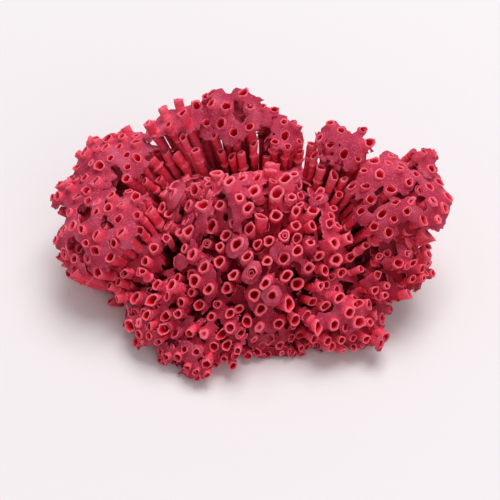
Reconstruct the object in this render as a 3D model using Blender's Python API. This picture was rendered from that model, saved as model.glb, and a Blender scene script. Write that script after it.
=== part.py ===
"""Organ pipe coral: a dry piece of one colony, standing on its cut base.

Units are metres with +Z up. The origin is on the ground under the middle of
the bounding box, -Y is the front. The colony is a bundle of narrow pipes that
fan out from the base, held apart by floors. A low main mass is cut flat
underneath and rests on the cut, and the lobes fork from it. Every lobe is one
closed solid: its floors, the pipes that run between them, and the open pipe
ends that stand out of the top floor, fused as the mesh is made.
"""

import math
import random

import bpy
from mathutils import Vector, noise
from mathutils.geometry import delaunay_2d_cdt, intersect_point_line

MM = 0.001

# Pipes
PIPE_SIDES = 5
PIPE_GAP = 0.5 * MM             # least clear space between two pipes
RADIUS_SPREAD = (0.86, 1.12)    # thinnest and thickest, over a lobe's own radius
RIM_FLARE = 1.05                # width of a mouth over that of its pipe
RIM_TILT = 0.45                 # how obliquely a mouth may be cut, as a slope
MOUTH_DEPTH = 3.0 * MM
PIT_SHARE = 0.6                 # how far into its floor a mouth may go
TRIES = 45                      # places tried for a pipe, per square millimetre of half by half

# Floors and their outlines. A reach is a share of a lobe's half widths.
OUTLINE_SIDES = 16
FLUTED_SIDES = 24               # round a lobe that is filled from top to bottom
FLUTE_DEPTH = 0.9 * MM
OUTLINE_WAVE = 0.4              # how much of its reach the raggedness may take
LEAST_REACH = 0.3
LONGEST_STEP = 1.7              # reach of one corner, over that of the next
LUMP_SIZE = 7 * MM
BARE_SPACING = 3.2 * MM         # points that shape a floor where it has no pipes
STEM_DEPTH = 3.0 * MM           # every pipe this near a lobe's edge runs on below its top floor
INNER_SPACING = 4.2 * MM        # farther in, where they are hidden, only pipes this far apart do
EDGE_GAP = 0.15 * MM            # between a pipe and the edge of its floor
EDGE_HEIGHT = 1.8 * MM          # least height of a lobe's edge over the main mass

# Main mass
MAIN_REACH = 1.08
BASE_WIDTH = 0.94               # width at the cut, over that of the rim
RIM_HEIGHT = 1.0 * MM           # how low the rim may come
TOP_FLOOR = 6 * MM              # how far down its mouths may go

# Clear spaces
SPLIT_GAP = 0.6 * MM            # between a lobe and the main mass
LOBE_GAP = 0.7 * MM             # between two lobes
GROUND_GAP = 0.4 * MM           # under an overhanging lobe

CRIMSON = (0.44, 0.03, 0.06)

# The middle of the bounding box of the table below
CENTRE = Vector((0.42, -0.75, 0.0)) * MM

# The lobes, in millimetres. root is where a lobe's pipes would meet, tip is the
# middle of its top floor, facing the way that floor looks, half its two half
# widths, drop how far its edge falls below its middle and fullness how late,
# narrow the width of the root over that of the tip, stand the shortest and
# longest pipe end above it, pipe the radius of a pipe, and floors the heights
# that are filled, from 0 on the main mass to 1 at the top.
OPEN = ((0, 0.14), (0.84, 1))
FULL = ((0, 1),)
LOBES = {
    "main_mass": dict(root=(1, 3, -12), tip=(1, -0.3, 22), facing=(0.03, -0.06, 1),
                      half=(21.5, 17.9), drop=20.6, fullness=2.4, narrow=0.15, stand=(1.3, 3.8),
                      pipe=1.05, waves=5, floors=None),
    "back_lobe": dict(root=(0, 11, 4), tip=(-3.5, 13, 28), facing=(-0.1, -0.45, 0.9), half=(7, 5.8),
                      drop=2, narrow=0.4, stand=(0.5, 1.6), pipe=0.85, floors=OPEN),
    "left_lobe": dict(root=(-9, -2, -6), tip=(-26.5, -3, 17.5), facing=(-0.45, -0.4, 0.8), half=(10, 8.6),
                      drop=5, narrow=0.35, stand=(0.4, 1.5), pipe=0.85, floors=OPEN),
    "right_lobe": dict(root=(11, 1.5, 0), tip=(25.5, 1, 21.5), facing=(0.2, -0.3, 0.95), half=(9.8, 9),
                       drop=3.5, narrow=0.3, stand=(0.5, 1.8), pipe=0.95, floors=OPEN),
    "upper_left_lobe": dict(root=(-9, 8, 2), tip=(-25, 10.8, 21), facing=(-0.45, 0.05, 0.9), half=(8.7, 6.8),
                            drop=3, narrow=0.3, stand=(0.4, 1.4), pipe=0.8, floors=OPEN),
    "right_back_lobe": dict(root=(11, 7.5, 4), tip=(14.8, 9, 24.8), facing=(0, -0.4, 0.9), half=(5.8, 5),
                            drop=1.5, narrow=0.45, stand=(0.6, 1.7), pipe=0.85, floors=OPEN),
    "back_left_lobe": dict(root=(-5, 10, 4), tip=(-13.5, 13.5, 23.5), half=(6.8, 5),
                           drop=1, narrow=0.45, stand=(0.8, 3), pipe=0.85, floors=OPEN),
    "back_right_lobe": dict(root=(5.5, 11.5, 4), tip=(7.3, 13.5, 24), facing=(0.3, -0.1, 0.9),
                            half=(4.8, 4.8), drop=1.5, narrow=0.45, stand=(0.6, 2), pipe=0.8,
                            floors=OPEN),
    "front_left_lobe": dict(root=(-3, -8, 2), tip=(-9, -18.3, 7), facing=(-0.35, -0.55, 0.75), half=(9, 7.5),
                            drop=2.5, narrow=0.35, stand=(0.8, 2.5), pipe=0.95, waves=2, floors=FULL),
    "front_right_lobe": dict(root=(7, -5, 2), tip=(16.6, -14.3, 8.7), facing=(0.35, -0.5, 0.8),
                             half=(8.5, 7.5), drop=2, narrow=0.35, stand=(0.8, 2.5), pipe=0.95, waves=2,
                             floors=FULL),
    "left_front_lobe": dict(root=(-8, -6, 2), tip=(-17.3, -13.5, 9), facing=(-0.6, -0.4, 0.7),
                            half=(7.5, 7.5), drop=2.5, narrow=0.35, stand=(0.8, 2.5), pipe=0.9, waves=2,
                            floors=FULL),
    "lower_right_lobe": dict(root=(13, -3.2, 3), tip=(28, -6.8, 11), facing=(0.6, -0.3, 0.75), half=(8, 7),
                             drop=2, narrow=0.35, stand=(0.8, 2), pipe=0.8, waves=2, floors=FULL),
    "rear_left_lobe": dict(root=(-6, 8, 2), tip=(-12, 18, 7.5), facing=(-0.3, 0.75, 0.6), half=(10, 7),
                           drop=3, narrow=0.35, stand=(0.8, 2.2), pipe=0.9, waves=2, floors=FULL),
    "rear_right_lobe": dict(root=(7, 8, 2), tip=(13, 17, 8), facing=(0.3, 0.75, 0.6), half=(10, 7),
                            drop=3, narrow=0.35, stand=(0.8, 2.2), pipe=0.9, waves=2, floors=FULL),
}


class Lobe:
    """A fan of lines from a small root to a domed cap. (p, q) names a line of it."""

    def __init__(self, name, root, tip, half, drop, narrow, stand, pipe, floors,
                 fullness=2.0, facing=None, waves=1.5):
        self.name = name
        self.root = Vector(root) * MM - CENTRE
        self.tip = Vector(tip) * MM - CENTRE
        self.half = (half[0] * MM, half[1] * MM)
        self.drop = drop * MM
        self.fullness = fullness
        self.waves = waves * MM
        self.narrow = narrow
        self.stand = (stand[0] * MM, stand[1] * MM)
        self.pipe = pipe * MM
        self.floors = floors
        self.n = Vector(facing).normalized() if facing else (self.tip - self.root).normalized()
        self.u = Vector((0, 1, 0)).cross(self.n).normalized()
        self.v = self.n.cross(self.u)
        self.seed = sum(map(ord, name))
        self.edge = []
        self.pipes = []

    def sideways(self, p, q):
        return self.u * (self.half[0] * p) + self.v * (self.half[1] * q)

    def fall(self, p, q):
        """How far the cap lies below its middle, with round lumps and clefts between them."""
        place = Vector((p * self.half[0], q * self.half[1], self.seed * MM)) / LUMP_SIZE
        lump = math.hypot(noise.noise(place), 0.1) - 0.25
        return self.drop * math.hypot(p, q) ** self.fullness - self.waves * lump

    def foot(self, p, q):
        return self.root + self.sideways(p, q) * self.narrow

    def cap(self, p, q):
        return self.tip + self.sideways(p, q) - self.n * self.fall(p, q)

    def normal(self, p, q):
        step = 0.01
        across = self.cap(p + step, q) - self.cap(p - step, q)
        along = self.cap(p, q + step) - self.cap(p, q - step)
        return across.cross(along).normalized()

    def flat(self, point):
        """(p, q) of the place on the cap that lies straight under a point."""
        local = point - self.tip
        return local.dot(self.u) / self.half[0], local.dot(self.v) / self.half[1]

    def height(self, point):
        """How far a point lies above the cap, along n, negative inside."""
        return (point - self.tip).dot(self.n) + self.fall(*self.flat(point))

    def above(self, point):
        """Clear distance of a point from the cap, negative inside."""
        return self.height(point) * self.normal(*self.flat(point)).dot(self.n)

    def reach(self, p, q):
        """How far the outline lies out in the direction of (p, q)."""
        count = len(self.edge)
        sector = int(math.atan2(q, p) % math.tau / math.tau * count) % count
        (ap, aq), (bp, bq) = self.edge[sector], self.edge[(sector + 1) % count]
        across = (bp - ap) * q - (bq - aq) * p
        if across == 0:
            return math.hypot(ap, aq)
        return abs((bp * aq - bq * ap) / across) * math.hypot(p, q)

    def is_inside(self, p, q):
        """Whether (p, q) is inside the outline, clear of its edge."""
        return math.hypot(p, q) < self.reach(p, q) - EDGE_GAP / min(self.half)

    def encloses(self, ring):
        """Whether a ring of (p, q) is inside the outline, its sides too."""
        for (ap, aq), (bp, bq) in zip(ring, ring[1:] + ring[:1]):
            for t in (0, 0.33, 0.67):
                if not self.is_inside(ap + t * (bp - ap), aq + t * (bq - aq)):
                    return False
        return True

    def holds(self, point, margin):
        """Whether a point is in the lobe, or over it as far as its pipes stand, grown by margin.

        The line (p, q) through the point and the cap's fall there depend on each
        other, so they are found in turns.
        """
        axis = self.tip - self.root
        local = point - self.root
        if (local - axis / 2).length > axis.length / 2 + max(self.half) + self.stand[1] + margin:
            return False
        fall = 0.0
        for _ in range(4):
            height = local.dot(self.n) / (axis.dot(self.n) - fall)
            width = self.narrow + (1 - self.narrow) * height
            if not 0 < height < 1.6:
                return False
            p = (local - axis * height).dot(self.u) / (self.half[0] * width)
            q = (local - axis * height).dot(self.v) / (self.half[1] * width)
            fall = self.fall(p, q)
        if height > 1 + (margin + self.stand[1]) / axis.length:
            return False
        return math.hypot(p, q) < self.reach(p, q) + margin / (min(self.half) * width)


def crossing(distance, start, end):
    """The place between start and end where distance() turns positive."""
    low, high = 0.0, 1.0
    for _ in range(18):
        middle = (low + high) / 2
        if distance(start.lerp(end, middle)) > 0:
            high = middle
        else:
            low = middle
    return start.lerp(end, high)


class Pipe:
    """One pipe: its line, its radius, and the end that stands out of the cap."""

    def __init__(self, lobe, p, q, rng):
        self.p = p
        self.q = q
        self.radius = lobe.pipe * rng.uniform(*RADIUS_SPREAD)
        self.start = lobe.cap(p, q)
        along = (self.start - lobe.foot(p, q)).normalized()
        self.axis = (along + lobe.normal(p, q)).normalized()
        self.length = rng.uniform(*lobe.stand)
        self.mouth = self.start + self.axis * self.length
        self.turn = rng.uniform(0, math.tau)
        self.tilt = rng.uniform(-RIM_TILT, RIM_TILT)

    def clears(self, other):
        least = self.radius + other.radius + PIPE_GAP
        for point in (self.start, self.start.lerp(self.mouth, 0.5), self.mouth):
            place = intersect_point_line(point, other.start, other.mouth)[1]
            nearest = other.start.lerp(other.mouth, min(1, max(0, place)))
            if (point - nearest).length < least:
                return False
        return True

    def corners(self, centre, widening=1.0, tilt=0.0):
        """The pipe's corners round a point of its axis, anticlockwise seen from its mouth."""
        side = self.axis.orthogonal().normalized()
        other = self.axis.cross(side)
        found = []
        for i in range(PIPE_SIDES):
            step = math.tau * i / PIPE_SIDES
            across = side * math.cos(self.turn + step) + other * math.sin(self.turn + step)
            lift = self.axis * (tilt * math.cos(step))
            found.append(centre + (across * widening + lift) * self.radius)
        return found

    def trace(self, lobe):
        """(p, q) of the corners where they meet the cap."""
        reach = self.axis * 4 * self.radius
        hits = [crossing(lobe.height, corner - reach, corner + reach) for corner in self.corners(self.start)]
        return [lobe.flat(hit) for hit in hits]


class Colony:
    """All the lobes, their outlines and their pipes."""

    def __init__(self):
        self.lobes = [Lobe(name, **sizes) for name, sizes in LOBES.items()]
        self.main = self.lobes[0]
        for lobe in self.lobes:
            lobe.edge = self.outline(lobe)
        for lobe in self.lobes:
            self.grow_pipes(lobe)

    def line(self, lobe, p, q, heights):
        """Points on line (p, q) of a lobe, at heights from 0 on the main mass to 1 on the cap."""
        cap = lobe.cap(p, q)
        clear = crossing(lambda point: self.main.above(point) - SPLIT_GAP, lobe.foot(p, q), cap)
        return [clear.lerp(cap, height) for height in heights]

    def is_free(self, lobe, point, margin):
        """Whether a point is over the ground and outside the other side lobes drawn so far."""
        if point.z < GROUND_GAP:
            return False
        others = (other for other in self.lobes[1:] if other is not lobe and other.edge)
        return not any(other.holds(point, margin) for other in others)

    def is_room(self, lobe, p, q):
        """Whether line (p, q) of a side lobe is free from the main mass up, and of some length."""
        line = self.line(lobe, p, q, (0, 0.2, 0.4, 0.6, 0.75, 0.9, 1))
        if self.main.above(line[-1]) < EDGE_HEIGHT:
            return False
        return all(self.is_free(lobe, point, LOBE_GAP) for point in line)

    def outline(self, lobe):
        """(p, q) of a lobe's ragged edge, drawn in where another lobe or the ground is near."""
        edge = []
        fluted = lobe.floors == FULL
        sides = FLUTED_SIDES if fluted else OUTLINE_SIDES
        for i in range(sides):
            angle = math.tau * i / sides
            p, q = math.cos(angle), math.sin(angle)
            if lobe is self.main:
                reach = MAIN_REACH
                while lobe.cap(p * reach, q * reach).z < RIM_HEIGHT:
                    reach -= 0.01
            else:
                reach = 1 - OUTLINE_WAVE * abs(noise.noise(Vector((2 * p, 2 * q, lobe.seed * 0.1))))
                if fluted and i % 2:
                    reach -= FLUTE_DEPTH / min(lobe.half)
                while reach > LEAST_REACH and not self.is_room(lobe, p * reach, q * reach):
                    reach -= 0.03
            edge.append(Vector((p, q)) * reach)
        if lobe is not self.main:
            self.draw_in(lobe, edge)
        return [tuple(place) for place in edge]

    def draw_in(self, lobe, edge):
        """Draws in the corners of an edge until the straight runs between them are free too."""
        for _ in range(40):
            tight = set()
            for i in range(len(edge)):
                for t in (0.12, 0.25, 0.37, 0.5, 0.63, 0.75, 0.88):
                    if not self.is_room(lobe, *edge[i - 1].lerp(edge[i], t)):
                        tight.add((i if t > 0.4 else i - 1) % len(edge))
            for i in tight:
                if edge[i].length > LEAST_REACH:
                    edge[i] *= 0.95
            for i, corner in enumerate(edge):
                longest = LONGEST_STEP * min(edge[i - 1].length, edge[(i + 1) % len(edge)].length)
                if corner.length > longest:
                    corner *= longest / corner.length
            if not tight:
                return

    def grow_pipes(self, lobe):
        """Scatters pipes over a cap, each clear of its neighbours and of the other lobes."""
        rng = random.Random(lobe.seed)
        for _ in range(int(TRIES * lobe.half[0] * lobe.half[1] / MM ** 2)):
            angle = rng.uniform(0, math.tau)
            reach = rng.random() ** 0.45
            pipe = Pipe(lobe, reach * math.cos(angle), reach * math.sin(angle), rng)
            room = pipe.radius + LOBE_GAP
            if min(pipe.start.z, pipe.mouth.z) < pipe.radius + GROUND_GAP:
                continue
            if not all(self.is_free(lobe, pipe.start.lerp(pipe.mouth, t), room) for t in (0, 0.5, 1)):
                continue
            if lobe is not self.main and self.main.above(pipe.mouth) < room:
                continue
            if not all(pipe.clears(other) for grown in self.lobes for other in grown.pipes):
                continue
            pipe.ring = pipe.trace(lobe)
            if lobe.encloses(pipe.ring):
                lobe.pipes.append(pipe)


class Skin:
    """The points and triangles of one lobe's closed solid, each point with its (p, q)."""

    def __init__(self, lobe):
        self.lobe = lobe
        self.points = []
        self.places = []
        self.triangles = []

    def add(self, points, places):
        first = len(self.points)
        self.points += points
        self.places += [Vector((p * self.lobe.half[0], q * self.lobe.half[1])) / MM for p, q in places]
        return list(range(first, len(self.points)))

    def band(self, lower, upper):
        """Joins two rings that run the same way, anticlockwise from above."""
        for i in range(len(lower)):
            j = (i + 1) % len(lower)
            self.triangles += [(lower[i], lower[j], upper[j]), (lower[i], upper[j], upper[i])]

    def sheet(self, outline, holes=(), bare=(), upward=True):
        """Fills an outline around its holes and through its bare points."""
        chosen = outline + [index for hole in holes for index in hole] + list(bare)
        order = {index: i for i, index in enumerate(chosen)}
        edges = []
        for ring in [outline, *holes]:
            edges += [(order[a], order[b]) for a, b in zip(ring, ring[1:] + ring[:1])]
        result = delaunay_2d_cdt([self.places[index] for index in chosen], edges, [], 1, 1e-6)
        if len(result[0]) != len(chosen):
            raise ValueError(f"two rings cross on a floor of {self.lobe.name}")
        owner = {index: number for number, hole in enumerate(holes) for index in hole}
        origins = [chosen[found[0]] for found in result[3]]
        for face in result[2]:
            a, b, c = (origins[i] for i in face)
            if a in owner and owner.get(a) == owner.get(b) == owner.get(c):
                continue
            self.triangles.append((a, b, c) if upward else (a, c, b))


def bare_places(lobe):
    """A staggered grid of (p, q) inside a lobe's outline."""
    columns = int(1.2 * lobe.half[0] / BARE_SPACING)
    rows = int(1.2 * lobe.half[1] / BARE_SPACING)
    places = []
    for row in range(-rows, rows + 1):
        for column in range(-columns, columns + 1):
            p = (column + 0.5 * (row % 2)) * BARE_SPACING / lobe.half[0]
            q = row * BARE_SPACING / lobe.half[1]
            if lobe.is_inside(p, q):
                places.append((p, q))
    return places


def add_cap(skin, rim, thickness):
    """Closes a lobe on top: the top floor between its rim and the open pipe ends."""
    lobe = skin.lobe
    holes = []
    for pipe in lobe.pipes:
        foot = skin.add([lobe.cap(p, q) for p, q in pipe.ring], pipe.ring)
        mouth = skin.add(pipe.corners(pipe.mouth, RIM_FLARE, pipe.tilt), pipe.ring)
        depth = min(MOUTH_DEPTH, pipe.length + PIT_SHARE * thickness)
        bottom = skin.add([pipe.mouth - pipe.axis * depth], [(pipe.p, pipe.q)])[0]
        skin.band(foot, mouth)
        for i, corner in enumerate(mouth):
            skin.triangles.append((corner, mouth[(i + 1) % PIPE_SIDES], bottom))
        holes.append(foot)
    clear = []
    for p, q in bare_places(lobe):
        point = lobe.cap(p, q)
        if all((point - pipe.start).length > pipe.radius + BARE_SPACING / 2 for pipe in lobe.pipes):
            clear.append((p, q))
    bare = skin.add([lobe.cap(p, q) for p, q in clear], clear)
    skin.sheet(rim, holes, bare)


def main_mass(colony):
    """The low dome that the lobes fork from, with its flat cut base."""
    lobe = colony.main
    skin = Skin(lobe)
    rim_points = [lobe.cap(p, q) for p, q in lobe.edge]
    base_points = [Vector((point.x * BASE_WIDTH, point.y * BASE_WIDTH, 0)) for point in rim_points]
    rim = skin.add(rim_points, lobe.edge)
    base = skin.add(base_points, lobe.edge)
    skin.band(base, rim)
    skin.sheet(base, upward=False)
    add_cap(skin, rim, TOP_FLOOR)
    return skin


def stems_of(lobe):
    """The pipes of a lobe that run on below its top floor."""
    stems = []
    for pipe in sorted(lobe.pipes, key=lambda pipe: -math.hypot(pipe.p, pipe.q)):
        inward = (1 - math.hypot(pipe.p, pipe.q)) * min(lobe.half)
        nearest = min([(pipe.start - stem.start).length for stem in stems], default=inward)
        if inward < STEM_DEPTH or nearest > INNER_SPACING:
            stems.append(pipe)
    return stems


def side_lobe(colony, lobe):
    """A lobe that forks from the main mass: floors, and the pipes between them."""
    skin = Skin(lobe)
    stems = stems_of(lobe)

    def points_at(places, height):
        return skin.add([colony.line(lobe, p, q, (height,))[0] for p, q in places], places)

    feet = []
    for low, high in lobe.floors:
        under = points_at(lobe.edge, low)
        over = points_at(lobe.edge, high)
        skin.band(under, over)
        heads = []
        for pipe, foot in zip(stems, feet):
            heads.append(points_at(pipe.ring, low))
            skin.band(foot, heads[-1])
        bare = points_at(bare_places(lobe), low) if low == 0 else []
        skin.sheet(under, heads, bare, upward=False)
        if high < 1:
            feet = [points_at(pipe.ring, high) for pipe in stems]
            skin.sheet(over, feet)
        else:
            length = (lobe.cap(0, 0) - colony.line(lobe, 0, 0, (0,))[0]).length
            add_cap(skin, over, (high - low) * length)
    return skin


def calcite(name, colour):
    """Dry organ pipe skeleton: chalky, stained deep red right through."""
    material = bpy.data.materials.new(name)
    material.use_nodes = True
    shader = material.node_tree.nodes["Principled BSDF"]
    shader.inputs["Base Color"].default_value = (*colour, 1.0)
    shader.inputs["Roughness"].default_value = 0.62
    shader.inputs["Metallic"].default_value = 0.0
    material.diffuse_color = (*colour, 1.0)
    return material


def build():
    for old in list(bpy.data.objects):
        bpy.data.objects.remove(old)
    colony = Colony()
    skins = [main_mass(colony)] + [side_lobe(colony, lobe) for lobe in colony.lobes[1:]]
    for skin in skins:
        name = skin.lobe.name
        mesh = bpy.data.meshes.new(name)
        mesh.from_pydata([tuple(point) for point in skin.points], [], skin.triangles)
        mesh.materials.append(calcite(name + "_calcite", CRIMSON))
        bpy.context.scene.collection.objects.link(bpy.data.objects.new(name, mesh))


if __name__ == "__main__":
    build()
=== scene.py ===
import math
import random

import bpy
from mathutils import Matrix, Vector, noise
from mathutils.geometry import delaunay_2d_cdt


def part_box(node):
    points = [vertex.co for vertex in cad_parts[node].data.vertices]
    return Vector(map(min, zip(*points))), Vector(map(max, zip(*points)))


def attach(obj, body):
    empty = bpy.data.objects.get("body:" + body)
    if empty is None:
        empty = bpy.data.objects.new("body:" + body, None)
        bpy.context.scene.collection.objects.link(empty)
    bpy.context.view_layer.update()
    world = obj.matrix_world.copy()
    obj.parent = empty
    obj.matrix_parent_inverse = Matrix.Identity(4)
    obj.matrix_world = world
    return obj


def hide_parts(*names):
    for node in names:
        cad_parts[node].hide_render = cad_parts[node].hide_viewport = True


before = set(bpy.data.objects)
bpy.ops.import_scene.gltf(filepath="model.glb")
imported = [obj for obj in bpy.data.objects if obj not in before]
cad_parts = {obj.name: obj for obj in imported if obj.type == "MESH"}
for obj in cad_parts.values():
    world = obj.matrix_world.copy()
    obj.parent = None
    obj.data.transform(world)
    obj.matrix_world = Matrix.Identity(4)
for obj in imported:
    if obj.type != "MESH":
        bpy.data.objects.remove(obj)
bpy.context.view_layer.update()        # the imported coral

mm = 0.001
tau = math.tau
colonyCentre = Vector((0.42, -0.75, 0)) * mm      # middle of the lobes' box, in their own millimetres
groundGap = 0.35 * mm                             # nothing but the cut base comes lower
cutHeight = 0.02 * mm                             # the flat cut it rests on
cellSize = 3 * mm                                 # cells that neighbours are looked up in
straight = Vector((0, 0, 0))                      # the bend of a pipe that has none


def linearColour(hexCode):
    values = [int(hexCode[i:i + 2], 16) / 255 for i in (1, 3, 5)]
    return [v / 12.92 if v <= 0.04045 else ((v + 0.055) / 1.055) ** 2.4 for v in values] + [1.0]


def addNode(tree, kind, inputs=None, output=0, stops=(), **settings):
    # adds a node with its settings and links, and gives back the output that is wanted
    made = tree.nodes.new(kind)
    for name, value in settings.items():
        setattr(made, name, value)
    for key, value in (inputs or {}).items():
        if isinstance(value, bpy.types.NodeSocket):
            tree.links.new(value, made.inputs[key])
        elif isinstance(value, str) and value.startswith("#"):
            made.inputs[key].default_value = linearColour(value)
        else:
            made.inputs[key].default_value = value
    for number, (place, colour) in enumerate(stops):
        elements = made.color_ramp.elements
        element = elements[number] if number < 2 else elements.new(place)
        element.position = place
        element.color = linearColour(colour)
    return made.outputs[output] if made.outputs else made


def newMesh(name, points, faces, material=None):
    mesh = bpy.data.meshes.new(name)
    mesh.from_pydata([tuple(point) for point in points], [], faces)
    if material:
        mesh.materials.append(material)
    made = bpy.data.objects.new(name, mesh)
    bpy.context.scene.collection.objects.link(made)
    return made


def storeNumbers(item, key, values, kind="FLOAT"):
    stored = item.data.attributes.new(key, kind, "POINT")
    stored.data.foreach_set("value" if kind == "FLOAT" else "vector", values)


def frozen(item):
    # the evaluated mesh takes the place of the object's modifiers
    mesh = bpy.data.meshes.new_from_object(item.evaluated_get(bpy.context.evaluated_depsgraph_get()))
    item.modifiers.clear()
    item.data = mesh
    return item


def joined(name, items):
    bpy.ops.object.select_all(action="DESELECT")
    for item in items:
        item.select_set(True)
    bpy.context.view_layer.objects.active = items[0]
    bpy.ops.object.join()
    items[0].name = name
    items[0].data.name = name
    return items[0]


def runTree(item, tree, values):
    # a Geometry Nodes modifier's inputs are set by their identifiers, and only its mesh is kept
    modifier = item.modifiers.new(tree.name, "NODES")
    modifier.node_group = tree
    for socket in tree.interface.items_tree:
        if socket.item_type == "SOCKET" and socket.in_out == "INPUT" and socket.name in values:
            modifier[socket.identifier] = values[socket.name]
    return frozen(item)


def newMaterial(name, look):
    # a material with its shader's plain settings, and the coordinates that its patterns read
    material = bpy.data.materials.new(name)
    material.use_nodes = True
    tree = material.node_tree
    shader = tree.nodes["Principled BSDF"]
    shader.inputs["Roughness"].default_value = look["roughness"]
    shader.inputs["Specular IOR Level"].default_value = look["specular"]
    return material, tree, shader, addNode(tree, "ShaderNodeTexCoord", output="Object")


pipeLook = dict(
    deep="#BE0C28", wall="#F62E50", pale="#FF6480", lip="#FD7F95", thin="#FA6C84", throat="#D40C28",
    stemToneAndLight="#EC5A78", dust="#F8AEB8", blotchSize=2.5 * mm, dustSize=0.22 * mm, paintedGlowDepth=2.2 * mm,
    stemFrom=1.5 * mm, stemTo=7 * mm, ringSpacing=0.42 * mm, ringsPerBulge=3.3, wanderSize=1.2 * mm,
    relief=0.12 * mm, roughness=0.5, specular=0.22)


def calcitePipe():
    # organ pipe calcite, grown in rings: smooth, a little waxy; its rim is paler calcite, brightened further
    # as painted highlight, and the wall near the mouth carries painted light
    look = pipeLook
    material, tree, shader, place = newMaterial("calcitePipe", look)
    lip, throat, tint, down = (addNode(tree, "ShaderNodeAttribute", output="Fac", attribute_name=name)
                               for name in ("lip", "throat", "tint", "down"))
    blotch = addNode(tree, "ShaderNodeTexNoise",
                     {"Vector": place, "Scale": 1 / look["blotchSize"], "Detail": 3.0})
    # painted light: each pipe's tone is its own random tone, painted brighter towards the back of a lobe and
    # darker on the low front lobes
    tone = addNode(tree, "ShaderNodeMath", {0: tint, 1: 0.5, 2: -0.05}, operation="MULTIPLY_ADD")
    tone = addNode(tree, "ShaderNodeMath", {0: blotch, 1: 0.7, 2: tone}, operation="MULTIPLY_ADD")
    wall = addNode(tree, "ShaderNodeValToRGB", {0: tone},
                   stops=[(0.15, look["deep"]), (0.9, look["pale"]), (0.5, look["wall"])])
    # painted light: the wall is painted brighter near the mouth, in place of light coming through the thin
    # rim; further down it takes the paler, duller stem colour, the stems' own tone lifted as painted light
    # against their shade
    thin = addNode(tree, "ShaderNodeMapRange", {0: down, 1: 0.0, 2: look["paintedGlowDepth"], 3: 0.5, 4: 0.0})
    stemToneAndLight = addNode(tree, "ShaderNodeMapRange",
                   {0: down, 1: look["stemFrom"], 2: look["stemTo"], 3: 0.0, 4: 0.6})
    # pinholes in the wall are dark grain, and dust on it is pale grain
    grain = addNode(tree, "ShaderNodeTexNoise", {"Vector": place, "Scale": 1 / look["dustSize"]})
    pitted = addNode(tree, "ShaderNodeMapRange", {0: grain, 1: 0.3, 2: 0.48, 3: 0.55, 4: 0.0})
    dusty = addNode(tree, "ShaderNodeMapRange", {0: grain, 1: 0.6, 2: 0.78, 3: 0.0, 4: 0.4})
    colour = wall
    # the lip colour is the rim's own paler calcite, brightened further as painted highlight
    for amount, paint in ((thin, "thin"), (stemToneAndLight, "stemToneAndLight"), (pitted, "deep"), (lip, "lip"), (dusty, "dust"),
                          (throat, "throat")):
        colour = addNode(tree, "ShaderNodeMix", {0: amount, 6: colour, 7: look[paint]}, output=2,
                         data_type="RGBA")
    tree.links.new(colour, shader.inputs["Base Color"])
    # growth rings wander round the wall, and every few of them bulge
    wander = addNode(tree, "ShaderNodeTexNoise", {"Vector": place, "Scale": 1 / look["wanderSize"]})
    wander = addNode(tree, "ShaderNodeMath", {0: wander, 1: 9.0}, operation="MULTIPLY")
    height = grain
    for spacing, size in ((look["ringSpacing"], 0.12), (look["ringSpacing"] * look["ringsPerBulge"], 0.5)):
        phase = addNode(tree, "ShaderNodeMath", {0: down, 1: tau / spacing, 2: wander},
                        operation="MULTIPLY_ADD")
        ring = addNode(tree, "ShaderNodeMath", {0: phase}, operation="SINE")
        height = addNode(tree, "ShaderNodeMath", {0: ring, 1: size, 2: height}, operation="MULTIPLY_ADD")
    bump = addNode(tree, "ShaderNodeBump", {"Strength": 0.65, "Distance": look["relief"], "Height": height})
    tree.links.new(bump, shader.inputs["Normal"])
    return material


# sunk is the colour of painted shade: low floors, floors towards the front and the core are painted darker
# with it
floorLook = dict(
    dark="#8E1834", plain="#BC3854", pale="#DA6E88", dust="#F0A4B4", wall="#EE3A58", sunk="#8E061A",
    cloudSize=4 * mm, grainSize=0.2 * mm, speckSize=0.26 * mm, relief=0.12 * mm, roughness=0.75,
    specular=0.12)


def calciteFloor():
    # the floors between the pipes: sugary calcite with pale dust caught on it, quite matt
    look = floorLook
    material, tree, shader, place = newMaterial("calciteFloor", look)
    fillet, sunk = (addNode(tree, "ShaderNodeAttribute", output="Fac", attribute_name=name)
                    for name in ("fillet", "sunk"))
    cloud = addNode(tree, "ShaderNodeTexNoise",
                    {"Vector": place, "Scale": 1 / look["cloudSize"], "Detail": 3.0})
    grain = addNode(tree, "ShaderNodeTexNoise",
                    {"Vector": place, "Scale": 1 / look["grainSize"], "Detail": 3.0, "Roughness": 0.6})
    speck = addNode(tree, "ShaderNodeTexNoise",
                    {"Vector": place, "Scale": 1 / look["speckSize"], "Detail": 1.0})
    tone = addNode(tree, "ShaderNodeMath", {0: grain, 1: 0.4, 2: 0.05}, operation="MULTIPLY_ADD")
    tone = addNode(tree, "ShaderNodeMath", {0: cloud, 1: 0.6, 2: tone}, operation="MULTIPLY_ADD")
    body = addNode(tree, "ShaderNodeValToRGB", {0: tone},
                   stops=[(0.35, look["dark"]), (0.78, look["pale"]), (0.56, look["plain"])])
    dusty = addNode(tree, "ShaderNodeMapRange", {0: speck, 1: 0.62, 2: 0.74, 3: 0.0, 4: 0.4})
    # painted shade: the sunk attribute darkens low and front floors and the core
    colour = body
    # painted light: the fillet attribute also paints floors brighter towards the back
    for amount, paint in ((dusty, "dust"), (fillet, "wall"), (sunk, "sunk")):
        colour = addNode(tree, "ShaderNodeMix", {0: amount, 6: colour, 7: look[paint]}, output=2,
                         data_type="RGBA")
    tree.links.new(colour, shader.inputs["Base Color"])
    bump = addNode(tree, "ShaderNodeBump", {"Strength": 0.6, "Distance": look["relief"], "Height": grain})
    tree.links.new(bump, shader.inputs["Normal"])
    return material


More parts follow.
